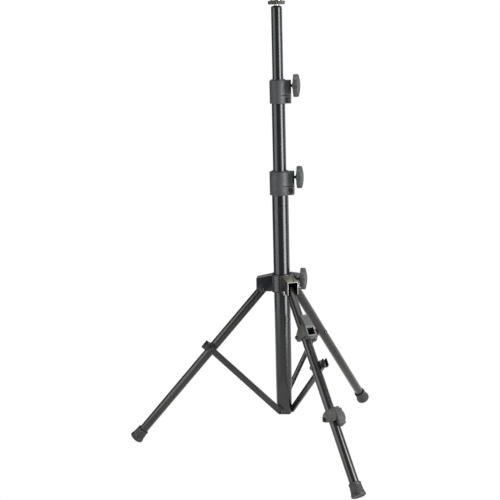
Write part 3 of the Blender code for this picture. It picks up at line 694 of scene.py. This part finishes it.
def star_knob(prefix):
    """Six-lobed knob: plain neck, rounded rim and a crowned face with a sunk cap."""
    low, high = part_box(f"{prefix}_clamp_knob")
    start = low.x + 2.5 * MM - MAST.translation.x
    thick = high.x - low.x - 2.5 * MM
    sides = 20 * KNOB_LOBES
    rim = KNOB_RADIUS
    rows = [(-2.5, 7.2, 0.0), (-2.2, 8.2, 0.0), (-0.6, 8.6, 0.0), (0.6, 10.5, 0.0), (1.6, 13.0, 0.3),
            (1.5, rim / MM - 6.0, 2.2), (0.4, rim / MM - 3.6, 3.2), (0.1, rim / MM - 2.2, 3.8),
            (0.7, rim / MM - 0.7, 4.4), (2.2, rim / MM, 4.8), (11.2, rim / MM - 0.3, 4.8),
            (13.0, rim / MM - 1.2, 4.4), (14.2, rim / MM - 3.2, 3.8), (15.4, rim / MM - 8.0, 2.6),
            (16.4, rim / MM - 13.5, 1.0), (16.9, 12.4, 0.2), (17.0, 11.6, 0.0), (16.2, 11.2, 0.0),
            (16.0, 10.4, 0.0), (16.3, 5.0, 0.0), (16.35, 0.6, 0.0)]
    scale = thick / (17.0 * MM)
    rings = [waved_circle(radius * MM, depth * MM, KNOB_LOBES, start + offset * MM * scale, sides, 1.6)
             for offset, radius, depth in rows]
    place = MAST @ Matrix.Translation((0, 0, knob_height(prefix)))
    show(f"{prefix}_knob", along_x(skin(rings)), "knob_grey", place, f"{prefix}_knob",
         f"{prefix}_clamp_knob", sharp=50)


def threaded(radius, low, high, pitch, depth):
    """Profile of a rod with thread ridges, from low to high."""
    profile = [(radius - depth, low)]
    height = low + 0.5 * pitch
    while height < high - 0.5 * pitch:
        profile += [(radius, height), (radius - depth, height + 0.5 * pitch)]
        height += pitch
    profile.append((radius - depth, high))
    return profile


def clamp(prefix):
    """Pad, threaded screw and knob of one clamp, along +X."""
    place = MAST @ Matrix.Translation((0, 0, knob_height(prefix)))
    centre = MAST.translation.x
    low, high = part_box(f"{prefix}_clamp_pad")
    pad = softened([(5.0 * MM, low.x - centre), (5.0 * MM, high.x - centre)], closed=False)
    body = {"lower": "lower_pad", "upper": "upper_pad", "hub": "hub_pad"}[prefix]
    show(f"{prefix}_pad", along_x(turned(pad, SMALL)), "brass", place, body, f"{prefix}_clamp_pad")
    low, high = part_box(f"{prefix}_clamp_screw")
    screw = threaded(SCREW_RADIUS, low.x - centre, high.x - centre, 1.25 * MM, 0.5 * MM)
    show(f"{prefix}_screw", along_x(turned(screw, SMALL)), "dark_steel", place, f"{prefix}_knob",
         f"{prefix}_clamp_screw", sharp=60)
    star_knob(prefix)


# ---------------------------------------------------------------- top of the mast

def mast_top():
    stud = 5.0 * MM
    low, high = heights("top_end_plug")
    rim = high - 5.2 * MM
    bore = TOP_RADIUS - TOP_WALL - GAP
    plug = [(bore, low), (bore, rim), (TOP_RADIUS, rim), (TOP_RADIUS, rim + 1.6 * MM),
            (TOP_RADIUS - 0.8 * MM, rim + 2.4 * MM), (8.4 * MM, high - 0.8 * MM), (7.2 * MM, high),
            (stud + GAP, high), (stud + GAP, low)]
    show("end_plug", turned(softened(plug, 0.3 * MM), closed=True), "nylon_black", MAST, "top_mast",
         "top_end_plug")
    low, high = heights("top_stud")
    boss_low, boss_high = heights("top_adapter_boss")
    rod = [(stud, low), (stud, boss_high)]
    rod += threaded(stud, boss_high + 0.2 * MM, high - 1.2 * MM, 1.5 * MM, 0.65 * MM)
    rod += [(4.0 * MM, high - 0.2 * MM), (3.6 * MM, high)]
    show("stud", turned(rod, 48), "zinc", MAST, "top_mast", "top_stud", sharp=60)
    low, high = heights("top_lock_disc")
    sides, notches = 192, 24
    rows = [(5.3, 0.0, low), (18.6, 0.0, low), (19.8, 0.2, low + 0.3 * MM), (20.8, 0.5, low + 1.0 * MM),
            (21.2, 0.9, low + 1.8 * MM), (21.2, 0.9, high - 1.8 * MM), (20.8, 0.5, high - 0.9 * MM),
            (19.8, 0.2, high - 0.2 * MM), (18.6, 0.0, high), (5.3, 0.0, high)]
    rings = [waved_circle(r * MM, d * MM, notches, z, sides, 3.0) for r, d, z in rows]
    show("lock_disc", skin(rings, closed=True), "nylon_black", MAST, "lock_disc", "top_lock_disc")
    boss = [(14.5 * MM, boss_low), (14.5 * MM, boss_high - 2 * MM), (12 * MM, boss_high),
            (stud + GAP, boss_high), (stud + GAP, boss_low)]
    show("adapter_boss", turned(softened(boss, 0.4 * MM), closed=True), "yellow_zinc", MAST, "top_mast",
         "top_adapter_boss")


# ---------------------------------------------------------------- hub

def arm_top(x, top):
    return top - 8.0 * MM * max(x - HUB_BARREL, 0.0) / (HUB_REACH - HUB_BARREL)


def arm(azimuth, half, start, reach, bottom, top, drop):
    """Box arm whose top falls towards its end; drop lowers it to make the hollow."""
    bend = max(start, HUB_BARREL)
    points = [(start, bottom), (reach, bottom), (reach, arm_top(reach, top) - drop),
              (bend, arm_top(bend, top) - drop)]
    if start < bend:
        points.append((start, top - drop))
    return turned_by(on_side(points, -half, half), azimuth)


def hub_additions(azimuths, bottom, top):
    """The clamp's boss and the three arms."""
    boss = rounded(box((10 * MM, -9 * MM, bottom + 2 * MM), (38 * MM, 9 * MM, top - 2 * MM)), 1.5 * MM)
    arms = [rounded(arm(azimuth, HUB_ARM_OUTER, 8 * MM, HUB_REACH, bottom, top, 0.0), 1.3 * MM)
            for azimuth in azimuths.values()]
    return [boss, *arms]


def hub_cutters(azimuths, pivot, bottom, top):
    """Hollows and bolt holes of the arms, marks on their tops, the clamp's nut slot and the bore."""
    bore = LOWER_RADIUS + HUB_LOOSE + SLEEVE_WALL + 0.1 * MM
    knob_z = knob_height("hub")
    cutters = []
    for azimuth in azimuths.values():
        cutters.append(arm(azimuth, HUB_ARM_INNER, 33 * MM, HUB_REACH + 8 * MM, bottom - 5 * MM, top,
                           2.2 * MM))
        cutters.append(turned_by(rod_y(PIN_RADIUS + 0.2 * MM, -20 * MM, 20 * MM, pivot.x, pivot.z), azimuth))
    seam = on_side([(-16 * MM, -12 * MM), (16 * MM, -12 * MM), (16 * MM, 12 * MM), (-16 * MM, 12 * MM)],
                   -0.9 * MM, 0.9 * MM)
    seam.transform(Matrix.Translation((50 * MM, 8.0 * MM, top))
                   @ Matrix.Rotation(math.radians(-14), 4, "Z"))
    relief = moved(turned([(2.4 * MM, top - 9 * MM), (2.4 * MM, top + 5 * MM)], SMALL), x=47 * MM)
    return cutters + [
        turned_by(seam, azimuths["front"]),
        turned_by(relief, azimuths["rear"]),
        box((31 * MM, -6.5 * MM, knob_z), (34.4 * MM, 6.5 * MM, top + 5 * MM)),
        turned([(bore, bottom - 5 * MM), (bore, top + 5 * MM)]),
        rod_x(5.3 * MM, 15 * MM, 33 * MM, knob_z),
        rod_x(SCREW_RADIUS + 0.15 * MM, 15 * MM, 45 * MM, knob_z),
    ]


def hub():
    """Sliding hub: barrel, three open arms and the clamp's boss with its nut slot."""
    bottom, top = heights("hub_bracket")
    azimuths = {side: math.atan2(plane(side)[1][0], plane(side)[0][0]) for side in SIDES}
    pivot = plane("left").inverted() @ joint_point(PIVOTS["left"])
    edge = 1.2 * MM
    barrel = turned([(HUB_BARREL - edge, bottom), (HUB_BARREL, bottom + edge), (HUB_BARREL, top - edge),
                     (HUB_BARREL - edge, top)])
    additions = hub_additions(azimuths, bottom, top)
    cutters = hub_cutters(azimuths, pivot, bottom, top)
    body = show("hub_body", carve(barrel, cutters, additions), "hub_black", MAST, "hub", "hub_bracket")
    ends = [plane(side).col[0].to_3d() for side in SIDES]
    # Upward faces of the hub's top are painted lighter, as lit from above: painted light.
    recoat(body, "hub_lit_top", lambda centre, normal: normal.z > 0.9 and centre.z > top - 9 * MM)
    # The arms' end faces get the lighter finish: painted highlight on the sheet's ends.
    recoat(body, "sheet_edge_highlight", lambda centre, normal: any(
        normal.dot(end) > 0.95 and (centre - MAST.translation).dot(end) > HUB_REACH - MM for end in ends))
    for side in SIDES:
        leg_pivot(side, pivot)


def leg_pivot(side, pivot):
    """Domed bolt through an arm, and its locking nut on the other side."""
    seat = HUB_ARM_OUTER + GAP
    place = plane(side) @ Matrix.Translation((pivot.x, 0, pivot.z))
    bolt = [(2.6 * MM, -seat - 6.5 * MM), (PIN_RADIUS, -seat - 6.0 * MM), (PIN_RADIUS, seat),
            (6.0 * MM, seat), (6.0 * MM, seat + 1.0 * MM), (5.6 * MM, seat + 2.0 * MM),
            (4.4 * MM, seat + 2.9 * MM), (2.6 * MM, seat + 3.4 * MM), (0.4 * MM, seat + 3.6 * MM)]
    show(f"pivot_bolt_{side}", along_y(turned(bolt, SMALL)), "dark_steel", place, "hub",
         f"leg_pivot_bolt_{side}")
    sides = 36
    hole = PIN_RADIUS + 0.2 * MM
    rings = [hexagon(5.5 * MM, -seat, sides), hexagon(6.1 * MM, -seat - 0.4 * MM, sides),
             hexagon(6.1 * MM, -seat - 3.2 * MM, sides), circle(5.0 * MM, -seat - 3.7 * MM, sides),
             circle(4.9 * MM, -seat - 4.6 * MM, sides), circle(4.3 * MM, -seat - 5.0 * MM, sides),
             circle(hole, -seat - 4.9 * MM, sides), circle(hole, -seat, sides)]
    show(f"pivot_nut_{side}", along_y(skin(rings, closed=True)), "zinc", place, "hub",
         f"leg_pivot_nut_{side}")


# ---------------------------------------------------------------- legs

def boot_ring(radius, depth, height):
    """Section of a boot with grooves along it."""
    return waved_circle(radius, depth, 14, height, 168, 4.0)


def leg(side):
    place = leg_frame(side)
    body = f"leg_{side}"
    sole = -LEG_LENGTH
    end = sole + 4 * MM
    profile = softened([(LEG_RADIUS, end), (LEG_RADIUS, LEG_TOP), (LEG_RADIUS - LEG_WALL, LEG_TOP),
                        (LEG_RADIUS - LEG_WALL, end)], 0.4 * MM)
    tube = turned(profile, 72, closed=True)
    holes = [rod_y(PIN_RADIUS + 0.2 * MM, -20 * MM, 20 * MM, z=z) for z in (0, -strut_pin_distance(side))]
    show(f"leg_{side}_tube", carve(tube, holes), "leg_black", place, body, f"leg_tube_{side}")
    bore = LEG_RADIUS + 0.1 * MM
    rows = [(11.0, 0.0, 1.2), (13.2, 0.0, 1.2), (13.4, 0.0, 0.0), (16.0, 0.0, 0.0), (17.3, 0.0, 0.3),
            (18.2, 0.0, 1.2), (18.5, 0.0, 2.6), (18.4, 0.0, 5.6), (17.9, 0.0, 7.0), (17.3, 0.7, 8.2),
            (16.4, 0.8, 13.0), (15.5, 0.8, 22.0), (15.1, 0.8, 27.2), (15.1, 0.0, 28.2), (15.5, 0.0, 28.8),
            (15.6, 0.0, 31.8), (15.1, 0.0, 33.3), (14.1, 0.0, 34.0)]
    rings = [boot_ring(radius * MM, depth * MM, sole + height * MM) for radius, depth, height in rows]
    rings += [boot_ring(bore + 0.4 * MM, 0.0, sole + 34 * MM), boot_ring(bore, 0.0, sole + 33.4 * MM),
              boot_ring(bore, 0.0, end - GAP)]
    show(f"leg_{side}_boot", skin(rings), "boot_rubber", place, body, f"leg_foot_{side}", sharp=50)
    clip(side, place)
    strut_pin(side, place)


def clip(side, place):
    """Folded saddle beside the leg, whose two prongs straddle the strut's end."""
    distance = strut_pin_distance(side)
    half = 10.5 * MM
    inner, outer = STRUT_INNER_Y - GAP, STRUT_OUTER_Y + 2 * GAP
    outline = [(-9, 7), (15.5, 7), (15.5, 12.7), (26, 12.7), (26, inner / MM), (15.5, inner / MM),
               (15.5, outer / MM), (26, outer / MM), (26, outer / MM + 2.3), (13, outer / MM + 2.3),
               (13, inner / MM), (-9, inner / MM)]
    rings = [[Vector((x * MM, y * MM, z)) for x, y in outline] for z in (-distance - half, -distance + half)]
    saddle = rounded(skin(rings), 0.7 * MM, 2)
    seat = LEG_RADIUS + 0.1 * MM
    cutters = [turned([(seat, -distance - 2 * half), (seat, -distance + 2 * half)]),
               rod_y(PIN_RADIUS + 0.2 * MM, 5 * MM, 20 * MM, z=-distance)]
    show(f"clip_{side}", carve(saddle, cutters), "leg_black", place, f"leg_{side}", f"strut_clip_{side}")


def hollow_head(seat, radius):
    """Profile of a tubular rivet's head: rounded rim round a deep hole."""
    rows = [(radius, 0.0), (radius, 0.9), (radius - 0.7 * MM, 1.9), (radius - 1.8 * MM, 2.3),
            (radius - 2.7 * MM, 2.0), (radius - 3.1 * MM, 1.2), (radius - 3.2 * MM, -3.0), (0.3 * MM, -3.2)]
    return [(r, seat + depth * MM) for r, depth in rows]


def strut_pin(side, place):
    near, far = -LEG_RADIUS - GAP, STRUT_OUTER_Y + GAP
    profile = [(0.3 * MM, near - 3.5 * MM), (2.6 * MM, near - 3.3 * MM), (4.4 * MM, near - 2.5 * MM),
               (5.5 * MM, near - 1.2 * MM), (5.5 * MM, near), (PIN_RADIUS, near), (PIN_RADIUS, far)]
    profile += hollow_head(far, 5.5 * MM)
    place = place @ Matrix.Translation((0, 0, -strut_pin_distance(side)))
    show(f"strut_bolt_{side}", along_y(turned(profile, SMALL)), "dark_steel", place, f"leg_{side}",
         f"strut_pin_{side}")


def mast_rivet(side):
    inside = FLAT_DISTANCE - LOWER_WALL - 2 * GAP
    outside = STRUT_OUTER_Y + SIDE_PLAY
    profile = [(0.3 * MM, inside - 2.2 * MM), (3.5 * MM, inside - 2.2 * MM), (3.5 * MM, inside),
               (PIN_RADIUS, inside), (PIN_RADIUS, outside)]
    profile += hollow_head(outside, 6.0 * MM)
    local = plane(side).inverted() @ lower_pin(side)
    place = plane(side) @ Matrix.Translation(local)
    show(f"rivet_{side}", along_y(turned(profile, SMALL)), "dark_steel", place, "mast",
         f"strut_rivet_{side}")


def slot_outline(half, low, high, steps=18):
    points = []
    for centre, start in ((high, 0), (low, 180)):
        for i in range(steps + 1):
            angle = math.radians(start + 180 * i / steps)
            points.append((half * math.cos(angle), centre + half * math.sin(angle)))
    return points


def strut(side):
    """Pressed channel with round ends, open towards its leg."""
    length = (joint_point(STRUT_PINS[side]) - lower_pin(side)).length
    bar = rounded(on_side(slot_outline(STRUT_HALF_WIDTH, 0, length), STRUT_INNER_Y, STRUT_OUTER_Y), 0.9 * MM)
    flange = STRUT_HALF_WIDTH - 1.8 * MM
    hollow = on_side(slot_outline(flange, 18 * MM, length - 18 * MM), STRUT_INNER_Y - 5 * MM,
                     STRUT_OUTER_Y - 1.8 * MM)
    lower_hole = PIN_RADIUS + (GAP if side == "left" else 1.4 * MM)
    cutters = [hollow, rod_y(lower_hole, 10 * MM, 30 * MM),
               rod_y(PIN_RADIUS + 0.2 * MM, 10 * MM, 30 * MM, z=length)]
    show(f"strut_{side}_bar", carve(bar, cutters), "strut_black", strut_frame(side), f"strut_{side}_arm",
         f"strut_{side}")


# ---------------------------------------------------------------- brackets of the front leg

# Outlines in millimetres in the leg's upright plane: X outward and Z up the leg for the upper
# bracket, down the leg for the lower one.
STRAP = [(-26, -9), (-27, 3), (-14, 9), (4, 16), (20, 18), (25, 4), (25, -15), (8, -15), (-14, -15)]
HOOD = {"upper": [(2, 44), (20, 43), (30, 4), (30, -20), (21, -22), (8, -18), (0, -14)],
        "lower": [(0, 30), (25, 30), (26, -10), (0, -11)]}
HOOD_SIDES = {"upper": (-5 * MM, 16.5 * MM), "lower": (0.5 * MM, 19.0 * MM)}
SLANT_RISE = {"upper": 17.6, "lower": 39.0}     # millimetres of Y over the strap's slanted face
BRACKET_FINISH = {"upper": "bracket_grey", "lower": "moulded_grey"}


def bracket_strap(flip):
    return on_side([(x * MM, flip * z * MM) for x, z in STRAP], -BRACKET_HALF_WIDTH, BRACKET_HALF_WIDTH)


def slanting_wedge(position):
    """Wedge taken off the strap's outer corner."""
    edge_y = -BRACKET_HALF_WIDTH / MM - 0.1
    slant = [(3, edge_y), (60, edge_y + SLANT_RISE[position]), (60, -30), (3, -30)]
    return skin([[Vector((x * MM, y * MM, z * MM)) for x, y in slant] for z in (-60, 60)])


def bracket_body(position, place):
    """Strap round the tube and an offset hood; the upper one also has a square frame. The frame is painted
    lighter as highlight and the inward faces darker as shade.
    """
    flip = 1 if position == "upper" else -1
    strap = rounded(carve(bracket_strap(flip), [slanting_wedge(position)]), 1.2 * MM, 3, 20)
    hood = on_side([(x * MM, flip * z * MM) for x, z in HOOD[position]], *HOOD_SIDES[position])
    additions = [rounded(hood, 1.4 * MM, 3, 20)]
    seat, head = LEG_RADIUS + GAP, -BRACKET_HALF_WIDTH
    cutters = [turned([(seat, -60 * MM), (seat, 60 * MM)]),
               box((-40 * MM, -9 * MM, -60 * MM), (0, 9 * MM, 60 * MM)),
               rod_y(PIN_RADIUS + GAP, -20 * MM, 20 * MM, x=BRACKET_BOLT_X),
               rod_y(5.6 * MM, head - 5 * MM, head + 1.2 * MM, x=BRACKET_BOLT_X)]
    if position == "upper":
        additions.append(rounded(box((10 * MM, -8 * MM, -22 * MM), (32.5 * MM, 15.5 * MM, 7 * MM)), 0.9 * MM))
        cutters.append(box((5 * MM, -5.2 * MM, -19.2 * MM), (40 * MM, 12.7 * MM, 0.2 * MM)))
    body = show(f"bracket_{position}_body", carve(strap, cutters, additions), BRACKET_FINISH[position],
                place, f"bracket_{position}", f"leg_bracket_{position}")
    # Faces turned inward are painted darker brown as shade.
    inward = -place.col[1].to_3d()
    recoat(body, "bracket_shade_brown", lambda centre, normal: normal.dot(inward) > 0.5)
    # Faces out at the square frame are painted lighter as highlight.
    back = place.inverted()
    recoat(body, "bracket_lit_frame", lambda centre, normal: (back @ centre).x > 30.5 * MM)


def bracket_bolt(position, place):
    """Coach bolt through the strap's ears."""
    seat = -BRACKET_HALF_WIDTH - GAP
    bolt = [(0.4 * MM, seat - 3.5 * MM), (2.6 * MM, seat - 3.2 * MM), (4.2 * MM, seat - 2.3 * MM),
            (5.0 * MM, seat - 0.9 * MM), (5.0 * MM, seat), (PIN_RADIUS, seat)]
    bolt += threaded(PIN_RADIUS, seat + 20 * MM, BRACKET_KNOB_Y + 6 * MM, 1.0 * MM, 0.4 * MM)
    show(f"bracket_{position}_bolt", along_y(turned(bolt, SMALL)), "dark_steel", place,
         f"bracket_{position}", f"leg_bracket_{position}_bolt")


def ribbed_knob(position, place):
    ribs, sides = 22, 22 * 8
    rows = [(0.0, 8.0, 0.0), (-0.2, 13.0, 0.0), (0.0, 15.2, 0.3), (0.6, 16.4, 0.8), (1.8, 17.0, 1.3),
            (7.6, 17.0, 1.3), (9.0, 16.3, 0.8), (9.8, 15.0, 0.3), (10.0, 13.5, 0.0), (9.4, 12.6, 0.0),
            (9.2, 11.0, 0.0), (9.5, 0.5, 0.0)]
    rings = [waved_circle(radius * MM, depth * MM, ribs, BRACKET_KNOB_Y + offset * MM, sides, 1.4)
             for offset, radius, depth in rows]
    show(f"bracket_{position}_knob", along_y(skin(rings)), "nylon_black", place,
         f"bracket_{position}_wheel", f"leg_bracket_{position}_knob", sharp=50)


def bracket(position):
    """Clamp bracket on the front leg, set where its bolt is."""
    low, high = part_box(f"leg_bracket_{position}_bolt")
    bolt_z = (leg_frame("front").inverted() @ ((low + high) / 2)).z
    place = leg_frame("front") @ Matrix.Translation((0, 0, bolt_z))
    bracket_body(position, place)
    bolt_place = place @ Matrix.Translation((BRACKET_BOLT_X, 0, 0))
    bracket_bolt(position, bolt_place)
    ribbed_knob(position, bolt_place)


# ---------------------------------------------------------------- floor, light and camera

def floor():
    """Pale card under the feet that throws light up; the backdrop shows through it."""
    made = to_object("floor", skin([circle(FLOOR_RADIUS, height, 128) for height in (-30 * MM, -0.2 * MM)]))
    material = bpy.data.materials.new("lit_floor")
    material.use_nodes = True
    tree = material.node_tree
    glow = node(tree, "ShaderNodeEmission", Color=(1, 1, 1, 1), Strength=FLOOR_GLOW)
    link(tree, glow.outputs["Emission"], tree.nodes["Material Output"].inputs["Surface"])
    made.data.materials.append(material)
    made.visible_camera = False


def camera():
    """Camera of the reference view: a little left of the mast's front, tilted down."""
    turn = Matrix.Rotation(CAMERA_TURN, 3, "Z")
    forward = turn @ Vector((0, math.cos(CAMERA_PITCH), -math.sin(CAMERA_PITCH)))
    level = turn @ Vector((1, 0, 0))
    upward = turn @ Vector((0, math.sin(CAMERA_PITCH), math.cos(CAMERA_PITCH)))
    right = math.cos(CAMERA_ROLL) * level + math.sin(CAMERA_ROLL) * upward
    top = -math.sin(CAMERA_ROLL) * level + math.cos(CAMERA_ROLL) * upward
    data = bpy.data.cameras.new("camera")
    data.lens = CAMERA_LENS
    data.sensor_width = 36
    data.clip_end = 60
    made = bpy.data.objects.new("camera", data)
    bpy.context.scene.collection.objects.link(made)
    basis = Matrix((right, top, -forward)).transposed().to_4x4()
    spot = turn @ Vector((CAMERA_SIDE, -CAMERA_DISTANCE, CAMERA_HEIGHT)) + MAST.translation
    made.matrix_world = Matrix.Translation(spot) @ basis
    bpy.context.scene.camera = made


def panel(name, azimuth, distance, height, width, tall, radiance, target_height):
    """Soft light panel that faces the mast; azimuth is measured from the camera's side, to the right."""
    towards = Matrix.Rotation(CAMERA_TURN, 3, "Z") @ Vector((math.sin(azimuth), -math.cos(azimuth), 0))
    spot = MAST.translation + towards * distance + Vector((0, 0, height))
    aim = MAST.translation + Vector((0, 0, target_height))
    data = bpy.data.lights.new(name, "AREA")
    data.shape = "RECTANGLE"
    data.size, data.size_y = width, tall
    data.energy = radiance * math.pi * width * tall
    made = bpy.data.objects.new(name, data)
    bpy.context.scene.collection.objects.link(made)
    made.location = spot
    made.rotation_euler = (aim - spot).to_track_quat("-Z", "Y").to_euler()


def lights():
    for name, (azimuth, *size) in PANELS.items():
        panel(name, math.radians(azimuth), *size)


def world():
    """White backdrop for the camera, a dim room for everything else."""
    made = bpy.data.worlds.new("studio")
    bpy.context.scene.world = made
    made.use_nodes = True
    tree = made.node_tree
    room = tree.nodes["Background"]
    room.inputs["Color"].default_value = ROOM_COLOUR
    room.inputs["Strength"].default_value = ROOM_GLOW
    backdrop = node(tree, "ShaderNodeBackground", Color=(1, 1, 1, 1), Strength=1.0)
    choice = node(tree, "ShaderNodeMixShader")
    link(tree, node(tree, "ShaderNodeLightPath").outputs["Is Camera Ray"], choice.inputs["Fac"])
    link(tree, room.outputs["Background"], choice.inputs[1])
    link(tree, backdrop.outputs["Background"], choice.inputs[2])
    link(tree, choice.outputs["Shader"], tree.nodes["World Output"].inputs["Surface"])


# ---------------------------------------------------------------- the stand

lower_tube()
straight_tubes()
bottom_cap()
guide_bushes()
for prefix in ("lower", "upper"):
    collar(prefix)
    sleeve(f"{prefix}_sleeve", f"{prefix}_collar_sleeve", COLLARS[prefix]["inner"] + 0.15 * MM, 2.6 * MM,
           COLLARS[prefix]["body"])
for prefix in ("lower", "upper", "hub"):
    clamp(prefix)
mast_top()
hub()
sleeve("hub_guide", "hub_sleeve", LOWER_RADIUS + HUB_LOOSE, 2.4 * MM, "hub", hub=True)
for side in SIDES:
    leg(side)
    mast_rivet(side)
    strut(side)
for position in ("upper", "lower"):
    bracket(position)
floor()
camera()
lights()
world()
bpy.context.scene.view_settings.view_transform = "Standard"
